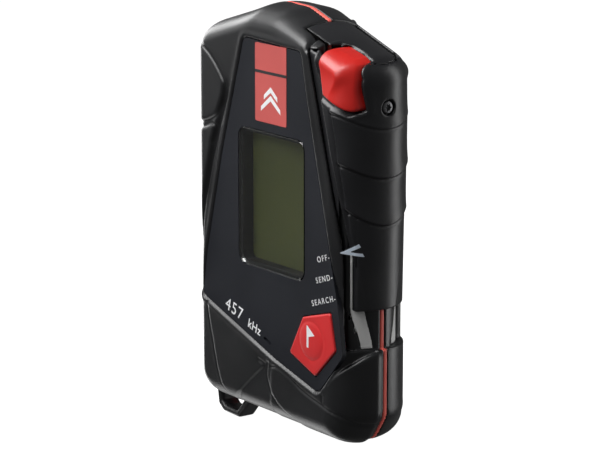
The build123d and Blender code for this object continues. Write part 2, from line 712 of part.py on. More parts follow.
with BuildPart() as hinge_pin:
    with BuildSketch(Plane.YZ.offset(CELL_X - 10.45)):
        with Locations((HINGE_D - DEPTH, HINGE_Z)):
            Circle(0.6)
    extrude(amount=20.9)
hinge_pin.part.label = "hinge_pin"

with BuildPart() as door_screw:
    with BuildSketch(front(24.45)):
        with Locations((CELL_X, DOOR_SCREW_Z)):
            Circle(3.0)
    extrude(amount=0.73)
    with BuildSketch(front(24.0)):
        with Locations((CELL_X, DOOR_SCREW_Z)):
            Circle(1.42)
    extrude(amount=3.4)
    with BuildSketch(front(24.5)):
        with Locations((CELL_X, DOOR_SCREW_Z)):
            Rectangle(4.6, 0.9)
    extrude(amount=0.5, mode=Mode.SUBTRACT)
door_screw.part.label = "door_screw"

with BuildPart() as case_screws:
    with BuildSketch(front(23.6)):
        with Locations((-29.3, -48.0), (17.5, -47.9), (-29.6, 43.8), (3.6, 48.6)):
            Circle(1.95)
    extrude(amount=1.25)
    with BuildSketch(front(22.6)):
        with Locations((-29.3, -48.0), (17.5, -47.9), (-29.6, 43.8), (3.6, 48.6)):
            Circle(1.08)
    extrude(amount=17.0)
    with BuildSketch(front(23.7)):
        with Locations((-29.3, -48.0), (17.5, -47.9), (-29.6, 43.8), (3.6, 48.6)):
            RegularPolygon(1.0, 6)
    extrude(amount=0.8, mode=Mode.SUBTRACT)
case_screws.part.label = "case_screws"

# ---- files ------------------------------------------------------------------------------
os.makedirs("parts", exist_ok=True)
for piece in (lanyard_eye, front_shell, back_shell, parting_seal, slide_track, mode_slider, slider_magnet,
              slider_screw, release_button, detent_ball, detent_spring, face_panel, label_plate, display_window,
              lcd_frame, lcd_module, lcd_backlight, mark_button, button_gasket, tact_switch, main_pcb,
              pcb_components, reed_switches, speaker, speaker_mesh, antenna_long_core, antenna_long_coil,
              antenna_cross_core, antenna_cross_coil, antenna_depth_core, antenna_depth_coil, battery_tray,
              aa_cell, battery_spring, battery_contact, door_seal, battery_door, hinge_pin, door_screw, case_screws):
    export_step(piece.part, "parts/" + piece.part.label + ".step")
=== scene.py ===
import math
import bpy
import bmesh
import numpy as np
from mathutils import Matrix, Vector


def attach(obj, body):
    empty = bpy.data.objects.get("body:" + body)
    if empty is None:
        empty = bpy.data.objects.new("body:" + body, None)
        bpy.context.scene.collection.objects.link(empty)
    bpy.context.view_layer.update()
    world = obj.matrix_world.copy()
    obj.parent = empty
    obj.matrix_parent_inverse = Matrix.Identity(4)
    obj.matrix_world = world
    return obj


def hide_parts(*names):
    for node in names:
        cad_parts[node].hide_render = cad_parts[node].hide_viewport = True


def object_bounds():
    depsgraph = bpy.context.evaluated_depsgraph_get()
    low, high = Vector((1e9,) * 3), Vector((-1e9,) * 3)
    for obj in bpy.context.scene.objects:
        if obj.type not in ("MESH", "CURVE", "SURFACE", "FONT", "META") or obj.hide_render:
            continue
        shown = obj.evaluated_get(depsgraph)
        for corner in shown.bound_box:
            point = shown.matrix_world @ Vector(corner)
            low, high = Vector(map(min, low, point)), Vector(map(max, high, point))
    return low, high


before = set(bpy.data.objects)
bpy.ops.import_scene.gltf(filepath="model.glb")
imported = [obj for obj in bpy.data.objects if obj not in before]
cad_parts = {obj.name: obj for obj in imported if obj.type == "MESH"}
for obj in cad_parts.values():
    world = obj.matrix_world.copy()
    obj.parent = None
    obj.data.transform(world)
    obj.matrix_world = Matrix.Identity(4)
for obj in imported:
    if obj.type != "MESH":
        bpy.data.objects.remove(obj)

CAD_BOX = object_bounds()
# ---------------------------------------------------------------- shapes
# Distances are in millimetres: x to the device's right, d behind the front rim, z up.
D0 = 24.5                     # the row frame's Y is d - D0
H2 = 0.2                      # pitch of the flat maps
X0, X1, Z0, Z1 = -40.0, 40.0, -64.0, 60.0
GX = np.arange(X0, X1 + H2 / 2, H2)
GZ = np.arange(Z0, Z1 + H2 / 2, H2)
MX, MZ = np.meshgrid(GX, GZ, indexing="ij")


def smooth(lo, hi, v):
    t = np.clip((v - lo) / (hi - lo), 0.0, 1.0)
    return t * t * (3 - 2 * t)


def rounded(points, radii, close=True):
    """The points of a polyline whose corners are arcs."""
    n = len(points)
    P = [np.array(p, float) for p in points]
    if not hasattr(radii, "__len__"):
        radii = [radii] * n
    out = []
    for i in range(n):
        r = radii[i]
        if (not close and i in (0, n - 1)) or r <= 0:
            out.append(P[i])
            continue
        a, b, c = P[i - 1], P[i], P[(i + 1) % n]
        u, v = a - b, c - b
        lu, lv = np.linalg.norm(u), np.linalg.norm(v)
        u, v = u / lu, v / lv
        ang = np.arccos(np.clip(u @ v, -1, 1))
        if np.pi - ang < 1e-3:
            out.append(b)
            continue
        t = min(r / np.tan(ang / 2), 0.48 * lu, 0.48 * lv)
        r = t * np.tan(ang / 2)
        m = (u + v) / np.linalg.norm(u + v)
        centre = b + m * r / np.sin(ang / 2)
        s, e = b + u * t - centre, b + v * t - centre
        a0, a1 = np.arctan2(s[1], s[0]), np.arctan2(e[1], e[0])
        da = (a1 - a0 + np.pi) % (2 * np.pi) - np.pi
        steps = max(3, int(abs(da) / 0.12) + 2)
        for k in range(steps):
            w = a0 + da * k / (steps - 1)
            out.append(centre + r * np.array([np.cos(w), np.sin(w)]))
    return np.array(out)


def seg_dist(P, Q, A, B):
    dx, dz = B[0] - A[0], B[1] - A[1]
    t = np.clip(((P - A[0]) * dx + (Q - A[1]) * dz) / (dx * dx + dz * dz + 1e-12), 0, 1)
    return (P - A[0] - t * dx) ** 2 + (Q - A[1] - t * dz) ** 2


def line_map(points):
    """Distance to an open polyline."""
    best = np.full(MX.shape, 1e9)
    for A, B in zip(points[:-1], points[1:]):
        best = np.minimum(best, seg_dist(MX, MZ, A, B))
    return np.sqrt(best)


def poly_map(points):
    """Signed distance to a closed polygon, negative inside."""
    best = np.full(MX.shape, 1e9)
    inside = np.zeros(MX.shape, bool)
    n = len(points)
    for i in range(n):
        A, B = points[i], points[(i + 1) % n]
        best = np.minimum(best, seg_dist(MX, MZ, A, B))
        crosses = (A[1] > MZ) != (B[1] > MZ)
        if crosses.any():
            xi = A[0] + (MZ - A[1]) * (B[0] - A[0]) / (B[1] - A[1] + 1e-12)
            inside ^= crosses & (MX < xi)
    return np.where(inside, -1, 1) * np.sqrt(best)


def blur(m, sigma):
    r = int(3 * sigma / H2) + 1
    k = np.exp(-0.5 * (np.arange(-r, r + 1) * H2 / sigma) ** 2)
    k /= k.sum()
    for axis in (0, 1):
        pad = [(r, r) if a == axis else (0, 0) for a in (0, 1)]
        p = np.pad(m, pad, mode="edge")
        acc = np.zeros_like(m)
        for j, w in enumerate(k):
            sl = [slice(None), slice(None)]
            sl[axis] = slice(j, j + m.shape[axis])
            acc += w * p[tuple(sl)]
        m = acc
    return m


def spline(points, per=8):
    """A smooth curve through the points."""
    P = np.array(points, float)
    P = np.vstack([2 * P[0] - P[1], P, 2 * P[-1] - P[-2]])
    out = []
    for i in range(1, len(P) - 2):
        p0, p1, p2, p3 = P[i - 1], P[i], P[i + 1], P[i + 2]
        for t in np.arange(per) / per:
            out.append(0.5 * (2 * p1 + (p2 - p0) * t + (2 * p0 - 5 * p1 + 4 * p2 - p3) * t * t
                              + (3 * p1 - p0 - 3 * p2 + p3) * t ** 3))
    out.append(P[-2])
    return np.array(out)


BODY = [(-35.5, 47.2), (-17.6, 52.4), (-9.5, 55.0), (1.5, 54.7), (33.1, 44.2), (33.1, -46.5), (27.8, -54.4), (-35.5, -54.4)]
BODY_R = [6.5, 12, 10, 12, 7, 6, 6, 8]
STEP = -28.8
BOTTOM = -18.5
RIM = [(9.4, 52.9), (11.2, 51.5), (13.3, 50.2), (14.8, 48.6), (15.5, 46.4), (25.0, 14.3), (27.0, 5.8), (29.0, -5.5), (31.0, -21.0), (31.85, STEP)]
PANEL = [(-12.0, 46.4), (12.9, 45.5), (15.5, 33.7), (22.2, 8.0), (29.0, -17.7), (30.9, -29.6), (20.6, -41.2), (1.6, -36.3),
         (-31.6, -25.4), (-29.5, -13.2), (-22.0, 15.2)]
PANEL_R = [2, 2, 20, 20, 20, 2.5, 3, 3, 2, 20, 20]
MARK = [(14.05, -22.3), (26.0, -18.9), (28.35, -28.7), (19.6, -37.3), (8.1, -33.1)]
SLIDER = [(0.0, 54.9), (34.3, 43.9), (33.7, 20.0), (32.85, BOTTOM), (33.0, -45.0), (0.0, -45.0)]
SLIDER_R = [0, 7.5, 30, 30, 0, 0]


def slope(x):
    return 55.0 - (x - 1.5) * 9.7 / 31.6


def outline_fields(points, a_left, a_right, a_top, a_bottom):
    """Signed distance to an outline, softened well inside it, and how wide the edge rounding is there."""
    q = poly_map(points)
    soft = blur(q, 1.3)
    s = np.where(q < 0, q + (soft - q) * smooth(0.8, 4.0, -q), q)
    gx, gz = np.gradient(blur(q, 0.6), H2)
    ln = np.sqrt(gx * gx + gz * gz) + 1e-6
    gx, gz = gx / ln, gz / ln
    w = [np.maximum(-gx, 0) ** 2, np.maximum(gx, 0) ** 2, np.maximum(gz, 0) ** 2, np.maximum(-gz, 0) ** 2]
    a = sum(wi * ai for wi, ai in zip(w, (a_left, a_right, a_top, a_bottom))) / sum(w)
    return s, blur(a, 0.8)


def half_dist(q, a, b, t):
    """Distance to one half of a cushion: q is the map's distance, a and b the rounding across and in depth, t how far from the parting plane."""
    u = np.maximum(1 + q / a, 0)
    v = t / b
    g = np.sqrt(u * u + v * v) + 1e-6
    grad = np.sqrt((u / (a * g)) ** 2 + (v / (b * g)) ** 2) + 1e-6
    return (g - 1) / grad


F2 = {}                       # flat maps, all on the same grid
q, a = outline_fields(rounded(BODY, BODY_R), 5.0, 8.5, 5.8, 6.5)
a = a + (5.2 - 7.0) * smooth(-2, 14, MX) * smooth(35, 42, MZ)
F2["q"], F2["af"] = q, a
F2["ab"] = outline_fields(rounded(BODY, BODY_R), 5.3, 14.0, 5.8, 5.6)[1]
qs, as_ = outline_fields(rounded(SLIDER, SLIDER_R), 9.0, 9.0, 4.2, 9.0)
F2["qs"], F2["asf"] = qs, as_
F2["asb"] = outline_fields(rounded(SLIDER, SLIDER_R), 14.0, 14.0, 7.0, 14.0)[1]


def take(names, x, z):
    """Values of the flat maps at points."""
    fx = np.clip((x - X0) / H2, 0, len(GX) - 1.001)
    fz = np.clip((z - Z0) / H2, 0, len(GZ) - 1.001)
    ix, iz = fx.astype(int), fz.astype(int)
    tx, tz = fx - ix, fz - iz
    out = {}
    for n in names:
        m = F2[n]
        out[n] = (m[ix, iz] * (1 - tx) * (1 - tz) + m[ix + 1, iz] * tx * (1 - tz) + m[ix, iz + 1] * (1 - tx) * tz + m[ix + 1, iz + 1] * tx * tz)
    return out


def body_base(m, d):
    t = 12.0 - d
    return np.where(t >= 0, half_dist(m["q"], m["af"], 12.0, np.maximum(t, 0)), half_dist(m["q"], m["ab"], 12.5, np.maximum(-t, 0)))


def slider_base(m, d):
    t = 12.0 - d
    return np.where(t >= 0, half_dist(m["qs"], m["asf"], 12.5, np.maximum(t, 0)), half_dist(m["qs"], m["asb"], 12.2, np.maximum(-t, 0)))


# ---------------------------------------------------------------- meshing
def smax(a, b, k):
    h = np.maximum(k - np.abs(a - b), 0.0) / k
    return np.maximum(a, b) + h * h * k * 0.25


def smin(a, b, k):
    return -smax(-a, -b, k)


def nets(field, lo, hi, h, passes=2):
    """The closed surface field == 0 in a box, as points and quads, with each point moved onto the surface."""
    ax = [np.arange(lo[i] + 0.137 * h, hi[i] + h, h) for i in range(3)]
    F = field(ax[0][:, None, None], ax[1][None, :, None], ax[2][None, None, :])
    F = np.array(np.broadcast_to(F, tuple(len(a) for a in ax)), dtype=np.float32)
    for a in range(3):
        for end in (0, -1):
            sl = [slice(None)] * 3
            sl[a] = end
            F[tuple(sl)] = np.maximum(F[tuple(sl)], 0.01)
    s = F < 0
    n = np.zeros(tuple(k - 1 for k in F.shape), np.int8)
    for i in (0, 1):
        for j in (0, 1):
            for k in (0, 1):
                n += s[i:n.shape[0] + i, j:n.shape[1] + j, k:n.shape[2] + k]
    act = (n > 0) & (n < 8)
    I = np.stack(np.nonzero(act), 1)
    idx = np.full(act.shape, -1, np.int64)
    idx[act] = np.arange(len(I))
    acc, cnt = np.zeros((len(I), 3)), np.zeros(len(I))
    for a in range(3):
        b, c = [k for k in range(3) if k != a]
        for u in (0, 1):
            for v in (0, 1):
                o = np.zeros(3, int)
                o[b], o[c] = u, v
                p = I + o
                e = p.copy()
                e[:, a] += 1
                f0, f1 = F[tuple(p.T)].astype(float), F[tuple(e.T)].astype(float)
                m = (f0 < 0) != (f1 < 0)
                t = np.where(m, f0 / np.where(m, f0 - f1, 1), 0)
                q = np.repeat(o[None].astype(float), len(I), 0)
                q[:, a] += t
                acc += np.where(m[:, None], q, 0)
                cnt += m
    P = np.array([a[0] for a in ax]) + h * (I + acc / cnt[:, None])
    quads = []
    for a in range(3):
        b, c = (a + 1) % 3, (a + 2) % 3
        sl0, sl1 = [slice(1, -1)] * 3, [slice(1, -1)] * 3
        sl0[a], sl1[a] = slice(0, -1), slice(1, None)
        f0, f1 = s[tuple(sl0)], s[tuple(sl1)]
        for flip, m in ((False, f0 & ~f1), (True, ~f0 & f1)):
            J = np.stack(np.nonzero(m), 1)
            J[:, b] += 1
            J[:, c] += 1
            ring = []
            for ob, oc in ((-1, -1), (0, -1), (0, 0), (-1, 0)):
                K = J.copy()
                K[:, b] += ob
                K[:, c] += oc
                ring.append(idx[tuple(K.T)])
            R = np.stack(ring, 1)
            quads.append(R[:, ::-1] if flip else R)
    Q = np.concatenate(quads)
    ev = lambda X: np.asarray(field(X[:, 0], X[:, 1], X[:, 2]), float)
    for _ in range(passes):
        f = ev(P)
        G = np.zeros_like(P)
        for a in range(3):
            S = P.copy()
            S[:, a] += 0.02
            G[:, a] = (ev(S) - f) / 0.02
        g2 = np.maximum((G * G).sum(1), 0.25)
        step = -(f / g2)[:, None] * G
        ln = np.linalg.norm(step, axis=1, keepdims=True)
        P = P + step * np.minimum(1, 0.45 * h / np.maximum(ln, 1e-9))
    return P, Q


def to_frame(P):
    W = np.empty_like(P)
    W[:, 0], W[:, 1], W[:, 2] = P[:, 0] / 1000, (P[:, 1] - D0) / 1000, P[:, 2] / 1000
    return W


def mesh_piece(name, P, Q, flipped=False, smooth=True, cap=190000):
    me = bpy.data.meshes.new(name)
    W = to_frame(P)
    n = len(Q[0]) if len(Q) else 4
    me.vertices.add(len(W))
    me.vertices.foreach_set("co", W.astype(np.float32).ravel())
    Qf = np.asarray(Q)[:, ::-1] if flipped else np.asarray(Q)
    me.loops.add(Qf.size)
    me.loops.foreach_set("vertex_index", np.ascontiguousarray(Qf).ravel().astype(np.int32))
    me.polygons.add(len(Qf))
    me.polygons.foreach_set("loop_start", np.arange(0, Qf.size, n, dtype=np.int32))
    me.polygons.foreach_set("loop_total", np.full(len(Qf), n, np.int32))
    me.update(calc_edges=True)
    me.validate()
    o = bpy.data.objects.new(name, me)
    bpy.context.scene.collection.objects.link(o)
    bm = bmesh.new()
    bm.from_mesh(me)
    # crumbs of a thin edge that came loose are left out
    seen, groups = set(), []
    for v in bm.verts:
        if v in seen:
            continue
        stack, g = [v], []
        seen.add(v)
        while stack:
            w = stack.pop()
            g.append(w)
            for e in w.link_edges:
                x = e.other_vert(w)
                if x not in seen:
                    seen.add(x)
                    stack.append(x)
        groups.append(g)
    big = max(len(g) for g in groups)
    drop = [v for g in groups if len(g) < 0.004 * big for v in g]
    if drop:
        bmesh.ops.delete(bm, geom=drop, context="VERTS")
    bmesh.ops.recalc_face_normals(bm, faces=bm.faces)
    bm.to_mesh(me)
    bm.free()
    if 2 * len(me.polygons) > cap:
        mod = o.modifiers.new("thin", "DECIMATE")
        mod.ratio = cap / (2 * len(me.polygons))
        dg = bpy.context.evaluated_depsgraph_get()
        made = bpy.data.meshes.new_from_object(o.evaluated_get(dg))
        o.modifiers.clear()
        o.data = made
        made.name = name
    for p in o.data.polygons:
        p.use_smooth = smooth
    return o


def field_piece(name, field, lo, hi, h, cap=190000):
    P, Q = nets(field, lo, hi, h)
    return mesh_piece(name, P, Q, cap=cap)


# ---------------------------------------------------------------- relief maps
def region(points, radii=0):
    return poly_map(rounded(points, radii))


RIM_CAD = [(15.5, 46.4), (25.0, 14.3), (27.0, 5.8), (29.0, -5.5), (31.0, -21.0), (31.85, STEP)]
F2["E"] = region(RIM_CAD + [(60, STEP), (60, 75), (18.3, 75), (18.3, 46.5)])
F2["R"] = region([(15.65, 56.5), (25.15, 24.45), (27.15, 15.95), (29.15, 4.65), (31.15, -10.85), (32.0, BOTTOM - 8), (60, BOTTOM - 8), (60, 80), (15.65, 80)])
F2["Ef"] = region([(15.1, 46.7), (15.1, 36.2), (24.8, 4.0), (26.8, -4.5), (28.8, -15.8), (30.6, STEP), (60, STEP), (60, 46.7)])
F2["P"] = poly_map(rounded(PANEL, PANEL_R))
F2["W"] = poly_map(rounded([(-14.8, -13.7), (14.8, -13.7), (14.8, 23.1), (-14.8, 23.1)], 3.2))
F2["M"] = poly_map(rounded(MARK, 1.0))
F2["SL"] = line_map([(-1.9 - 1.1, -32.3 + 0.41), (-1.9 + 1.1, -32.3 - 0.41)]) - 0.5
F2["Cf"] = poly_map(rounded([(-33.3, 44.6), (-16.9, 49.5), (-9.0, 52.7), (1.0, 52.7), (7.2, 50.8), (7.2, 43.0), (9.0, 37.5), (27.4, -17.0),
                             (29.6, -24.5), (29.6, -45.0), (25.8, -52.2), (-33.3, -52.2)], [5, 3, 3, 3, 1, 1, 3, 3, 2, 3, 3, 5]))
F2["Cc"] = poly_map([(0, 40.6), (28.3, 31.9), (28.3, -40), (0, -40)])
F2["Cb"] = poly_map(rounded([(-33.3, 44.6), (-16.9, 49.5), (-9.0, 52.7), (1.0, 52.7), (7.2, 50.8), (7.2, 38.0), (28.3, 31.0), (28.3, -33.0),
                             (30.9, -36.0), (30.9, -45.4), (26.0, -52.2), (-33.3, -52.2)], [5, 3, 3, 3, 1, 1, 3, 1, 1, 3, 3, 5]))
FRAME = [(19.6, 44.6), (18.9, 47.0), (20.0, 48.2), (26.6, 46.7), (30.7, 44.9), (32.5, 40.6), (33.1, 32.3), (30.6, 31.0), (21.3, 34.9), (20.0, 39.3)]
F2["F"] = poly_map(rounded(FRAME, 0.8))
BUTTON = [(20.5, 47.4), (28.8, 45.3), (30.5, 44.0), (31.3, 40.4), (31.6, 36.9), (32.2, 33.2), (31.4, 32.4), (29.8, 32.9), (26.2, 34.7), (22.9, 36.0),
          (21.7, 39.6), (20.9, 43.3)]
F2["Bt"] = poly_map(rounded(BUTTON, 1.0))


def groove(points, depth, width, per=8):
    c = spline(points, per) if per else np.array(points, float)
    return -depth * np.exp(-(line_map(c) / width) ** 2)


# -- front relief of the shells
TOPCURL = [(15.5, 46.4), (14.9, 48.4), (13.4, 50.1), (11.3, 51.4), (9.4, 53.0), (9.2, 56.5)]
hb = np.zeros(MX.shape)
hb += groove(TOPCURL, 1.15, 0.62)
# wide channel between the rim and the two pads on the left
chan = rounded([(-19.3, 35.8), (-20.9, 33.4), (-21.4, 29.9), (-22.9, 26.9), (-24.5, 22.6), (-26.8, 16.5), (-29.0, 8.8), (-30.9, 1.0), (-32.3, -7.0), (-33.2, -14.0),
                (-32.6, -14.0), (-31.3, -6.6), (-29.8, 0.4), (-26.3, 11.8), (-21.9, 23.2), (-19.2, 30.0), (-18.2, 33.6)], 0.8)
hb += -1.0 * smooth(0.35, -0.75, poly_map(chan)) * smooth(35.5, 27.0, MZ)
PAD1 = [(-36.5, 44.4), (-31.9, 42.3), (-29.1, 40.8), (-27.3, 39.7), (-24.5, 37.4), (-22.2, 35.0), (-20.9, 32.9), (-21.4, 29.9), (-22.8, 27.0),
        (-24.4, 24.4), (-26.6, 23.0), (-30.4, 21.7), (-36.5, 20.4)]
PAD2 = [(-36.5, 18.9), (-30.4, 20.3), (-26.9, 21.5), (-25.2, 20.9), (-26.8, 16.5), (-29.0, 8.8), (-30.9, 1.0), (-32.3, -7.0), (-33.2, -14.0), (-36.5, -26.0)]
pad1 = poly_map(np.vstack([spline(PAD1), [(-45, 20.4), (-45, 44.4)]]))
pad2 = poly_map(np.vstack([spline(PAD2), [(-45, -26.0), (-45, 18.9)]]))
hb += 0.32 * smooth(0.3, -0.45, np.minimum(pad1, pad2)) + groove(PAD1, 0.45, 0.42) + groove(PAD2[:5], 0.45, 0.42)
# lower part: proud of the panel, with the moulded lines
LOW = [(-60, -20.0), (-36, -23.7), (-31.9, -25.3), (-31.6, -25.5), (1.6, -36.5), (20.3, -41.5), (31.2, -29.6), (32.0, -28.6), (60, -28.6), (60, -70), (-60, -70)]
low = poly_map(LOW)
hb += 0.42 * smooth(1.2, -0.2, low) * smooth(-60, -30, MX + 12)
L2 = [(-28.9, -27.0), (-28.8, -29.5), (-27.9, -33.0), (-27.0, -36.0), (-24.7, -43.9), (-22.6, -48.6), (-19.6, -51.6), (-15.5, -56.0)]
hb += groove(L2, 0.34, 0.36)
left2 = poly_map(np.vstack([spline(L2), [(-60, -56), (-60, -27)]]))
hb += -0.28 * smooth(0.5, -1.2, left2)
PAD3 = [(-27.2, -27.9), (-5.2, -37.9), (-2.9, -38.7), (-3.0, -39.7), (-7.5, -43.3), (-13.0, -48.1), (-17.6, -52.4), (-20, -56)]
hb += groove(PAD3[1:], 0.36, 0.38)
L4 = [(-1.2, -37.8), (-1.5, -40.0), (-1.3, -42.2), (0.4, -45.6), (3.8, -48.3), (9.2, -51.2), (14.5, -56.0)]
hb += groove(L4, 0.36, 0.38)
between = poly_map(np.vstack([spline(PAD3[1:]), spline(L4)[::-1]]))
hb += -0.3 * smooth(0.4, -1.0, between)
L5 = [(0.6, -38.6), (3.4, -38.2), (8.5, -39.6), (14.2, -41.9), (21.5, -43.6), (25.6, -44.6), (28.1, -45.5), (29.9, -46.6), (31.2, -48.0), (34.5, -49.6)]
hb += groove(L5, 0.30, 0.34)
low5 = poly_map(np.vstack([spline(L5), [(40, -70), (-2, -70)]]))
hb += 0.16 * smooth(0.4, -0.8, low5)
hb += groove([(22.8, -41.2), (22.8, -43.2)], 0.25, 0.28, 0)
# the channel that runs down beside the panel's corner from the slider's step
taper = line_map([(32.2, -28.4), (30.2, -31.3), (28.7, -33.1), (27.3, -34.9), (26.0, -36.6), (24.9, -38.0)])
wide = 0.3 + 0.8 * smooth(-37.5, -29.0, MZ)
hb += -(0.35 + 1.2 * smooth(-37.5, -30.0, MZ)) * np.exp(-(taper / wide) ** 2)
# raised lip beside the panel
lip = np.clip(F2["P"], 0, 9)
hb += 0.16 * np.exp(-((lip - 0.9) / 0.8) ** 2) * (MZ > -60)
F2["hb"] = blur(hb, 0.16)
F2["curl"] = blur(groove(TOPCURL, 1.0, 0.5), 0.08)
F2["T"] = poly_map(np.vstack([spline(TOPCURL), [(21.0, 56.5), (21.0, 46.4)]]))

# -- relief of the slider
LEDGE = [(25.2, 36.8), (25.6, 33.6), (26.2, 31.6), (27.2, 26.3), (28.2, 19.9), (28.9, 14.5), (29.6, 9.1), (30.4, 2.0), (31.2, -6.0), (31.9, -14.0), (32.4, -24.0)]
c = spline(LEDGE)
F2["pad"] = poly_map(np.vstack([c, [(60, -24), (60, 36.8)]]))
RIDGES = [(28.05, 0.027, 26.2), (15.5, 0.030, 28.2), (3.5, 0.042, 29.5)]


def slider_relief(m, x, d, z):
    t = d - 12.0
    out = 0.0
    inpad = smooth(0.35, -0.5, m["pad"])
    for z0, A, x0 in RIDGES:
        u = z - (z0 + A * t * t)
        side = smooth(x0 - 0.9, x0 + 0.5, x)
        out = out + side * (0.40 * np.exp(-np.maximum(u, 0) / 3.2) * smooth(-0.32, 0.12, u) - 0.24 * np.exp(-((u + 0.55) / 0.34) ** 2))
    top = z - (28.05 + 0.027 * t * t)
    out = out + 0.26 * inpad * smooth(0.2, -0.3, top) - 0.30 * np.exp(-(m["pad"] / 0.34) ** 2) * smooth(1.5, -0.5, top) * smooth(24.4, 25.6, x) * smooth(1.0, 7.0, z)
    # the sunk frame round the button
    sink = smooth(0.1, -1.0, m["F"]) * smooth(11.0, 9.0, d)
    out = out - 0.7 * sink + 0.12 * np.exp(-((m["F"] - 0.45) / 0.45) ** 2) * smooth(9, 7, d)
    return out


def core_top(x):
    return slope(x) - 12.8


def core_field(x, d, z, grow=0.0):
    t = 12.0 - d
    X = x - 31.5 - grow
    return np.where(t >= 0, half_dist(X, 7.5, 9.9 + grow, np.maximum(t, 0)), half_dist(X, 12.0, 9.9 + grow, np.maximum(-t, 0)))


def zone_free(m, x, d, z):
    """Where the slider moves: negative inside."""
    a = np.maximum(m["E"], d - 2.12)
    b = np.maximum(np.maximum(9.3 - x, core_top(x) - z), np.maximum(3.9 - d, d - 20.6))
    c = np.maximum(np.maximum(18.3 - x, core_top(x) - z), 2.0 - d)
    c = np.maximum(c, d - 20.6)
    e = np.maximum(np.maximum(24.6 - x, core_top(x) - z), 20.5 - d)
    f = np.maximum(np.maximum(24.6 - x, STEP - z), 21.9 - d)
    side = np.maximum(np.maximum(26.0 - x, STEP - z), 2.0 - d)
    return a, np.minimum(np.minimum(b, c), np.minimum(e, f)), side


def flank(d, z):
    """The grey runners beside the dark middle ridge: negative inside."""
    k = smooth(STEP - 0.5, BOTTOM + 1.0, z)
    front_edge = 9.4 - 2.1 * k
    back_edge = 15.3 + 2.4 * k
    return np.minimum(np.maximum(d - front_edge, 6.4 - 2.3 * k - d), np.maximum(back_edge - d, d - 21.4))


def shell_field(x, d, z):
    m = take(["q", "af", "ab", "qs", "asf", "asb", "E", "Ef", "P", "W", "M", "SL", "Cf", "Cc", "Cb", "hb", "T", "curl"], x, z)
    B = body_base(m, d)
    w = smooth(11.2, 9.2, d)
    S = B - m["hb"] * w
    corner = slider_base(m, d) - m["curl"]
    t = smooth(0.35, -0.35, m["T"]) * smooth(5.2, 4.8, d)
    S = S * (1 - t) + np.maximum(corner, S - 2.4) * t
    a, z2, side = zone_free(m, x, d, z)
    S = smax(S, -a, 0.55)
    S = smax(S, -np.minimum(z2, side), 0.4)
    S = np.maximum(S, -np.maximum(np.maximum(np.maximum(0.85 - d, B + 0.85), d - 2.12), m["Ef"]))
    # guide
    k = core_field(x, d, z)
    fl = flank(d, z)
    ridge = 0.30 * smooth(0.0, 0.7, fl)
    core = np.maximum(k - ridge + 0.10, z - core_top(x))
    core = np.maximum(core, np.maximum(8.9 - x, STEP - 2.5 - z))
    S = np.minimum(S, core)
    # panel recess, display, button, sound slot
    ch = np.clip(0.28 - d, 0, 0.75)
    S = smax(S, -np.maximum(m["P"] - ch, d - 1.5), 0.18)
    S = np.maximum(S, -np.maximum(m["W"], d - 8.0))
    S = np.maximum(S, -np.maximum(m["M"], d - 8.0))
    S = np.maximum(S, -np.maximum(m["SL"], d - 4.0))
    # hollow
    front_hollow = np.maximum(np.minimum(np.maximum(m["Cf"], 2.75 - d), np.maximum(m["Cc"], 4.2 - d)), d - 12.3)
    back_hollow = np.maximum(m["Cb"], np.maximum(11.8 - d, d - 21.9))
    hollow = np.maximum(np.minimum(front_hollow, back_hollow), B + 2.2)
    hollow = np.maximum(hollow, np.where((m["E"] < 1.2) & (z > STEP - 2.5), k + 1.3, -9.0))
    S = np.maximum(S, -hollow)
    # battery door and screws at the back
    door = np.maximum(np.maximum(-31.2 - x, x + 13.8), np.maximum(-30.0 - z, z - 40.6))
    S = np.maximum(S, -np.maximum(door, 22.8 - d))
    cell = np.maximum(np.maximum(-29.9 - x, x + 15.1), np.maximum(-18.1 - z, z - 33.6))
    S = np.maximum(S, -np.maximum(cell, 20.0 - d))
    for sx, sz in ((-29.3, -48.0), (17.5, -47.9), (-29.6, 43.8), (3.6, 48.6)):
        r = np.sqrt((x - sx) ** 2 + (z - sz) ** 2)
        S = smax(S, -np.maximum(r - 2.12, 22.35 - d), 0.2)
    r = np.sqrt((x + 22.5) ** 2 + (z + 25.8) ** 2)
    S = np.maximum(S, -np.maximum(r - 2.0, 18 - d))
    return S


def front_field(x, d, z):
    return np.maximum(shell_field(x, d, z), d - 11.33)


def back_field(x, d, z):
    return np.maximum(shell_field(x, d, z), 12.74 - d)


def seal_field(x, d, z):
    return np.maximum(shell_field(x, d, z) + 0.07, np.abs(d - 12.0) - 0.645)


def slider_field(x, d, z):
    m = take(["q", "af", "ab", "qs", "asf", "asb", "E", "R", "F", "Bt", "pad"], x, z)
    SB = slider_base(m, d)
    B = body_base(m, d)
    out = SB - slider_relief(m, x, d, z)
    left = np.maximum(np.maximum(m["R"], 18.6 - x), d - 4.3)
    bar = np.maximum(np.maximum(9.6 - x, 4.2 - 3.2 * smooth(31.3, 32.1, x) - d), d - 20.35)
    back = np.maximum(24.95 - x, 20.3 - 3.5 * smooth(26.5, 29.0, x) - d)
    cap = smax(out, np.minimum(np.minimum(left, bar), back), 0.6)
    flange = np.maximum(np.maximum(B + 0.95, m["E"] - 0.15), np.maximum(z - 46.3, d - 1.78))
    flange = np.maximum(flange, 0.93 - d)
    void = core_field(x, d, z, 0.36)
    void = np.maximum(void, z - (slope(x) - 2.0))
    S = np.maximum(cap, -void)
    S = np.minimum(S, np.maximum(flange, x - 30.5))
    S = smax(S, BOTTOM - z, 0.5)
    S = smax(S, -np.maximum(m["Bt"] - 0.28, d - 9.0), 0.15)
    r = np.sqrt((d - 11.8) ** 2 + (z - 33.1) ** 2)
    S = smax(S, -np.maximum(r - 2.05, 33.0 - x), 0.25)
    return S


